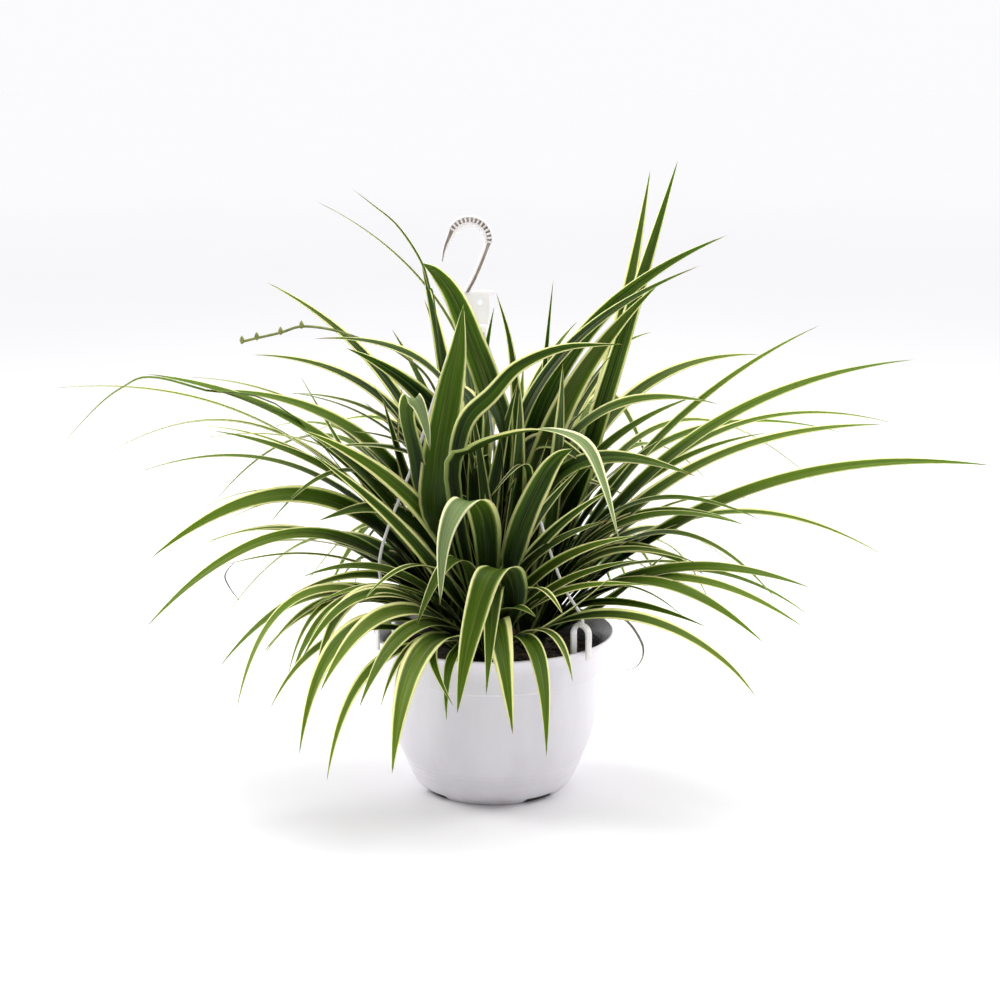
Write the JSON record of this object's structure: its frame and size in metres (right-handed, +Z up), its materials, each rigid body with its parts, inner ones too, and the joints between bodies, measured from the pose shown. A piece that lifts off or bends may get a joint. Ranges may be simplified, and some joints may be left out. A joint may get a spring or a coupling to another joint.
{
  "type": "potted spider plant",
  "caption": "Bushy spider plant with striped, arching leaves in a round plastic pot, with a three-strand hanger standing up from its rim.",
  "frame": {"origin": "middle of the pot's flat underside, on its central disc", "axes": "+Z up, -Y towards the viewer of the picture, +X to that viewer's right"},
  "size_m": [0.745, 0.5594, 0.52],
  "materials": {
    "pot_plastic": "satin white outside, glossy charcoal inside",
    "hook_plastic": "moulded white plastic with small ribs",
    "strand_plastic": "smooth translucent white plastic",
    "potting_mix": "loose dark peat and bark, damp and crumbly",
    "leaf": "satin green leaf with cream margins and fine lengthwise veins"
  },
  "bodies": {
    "root": {"pot": "pot_plastic", "potting_soil": "potting_mix", "hanger_hook": "hook_plastic", "hanger_strand_right": "strand_plastic", "hanger_strand_left": "strand_plastic", "hanger_strand_back": "strand_plastic", "spider_plant_left": "leaf", "spider_plant_right": "leaf", "spider_plant_front": "leaf"}
  },
  "joints": []
}
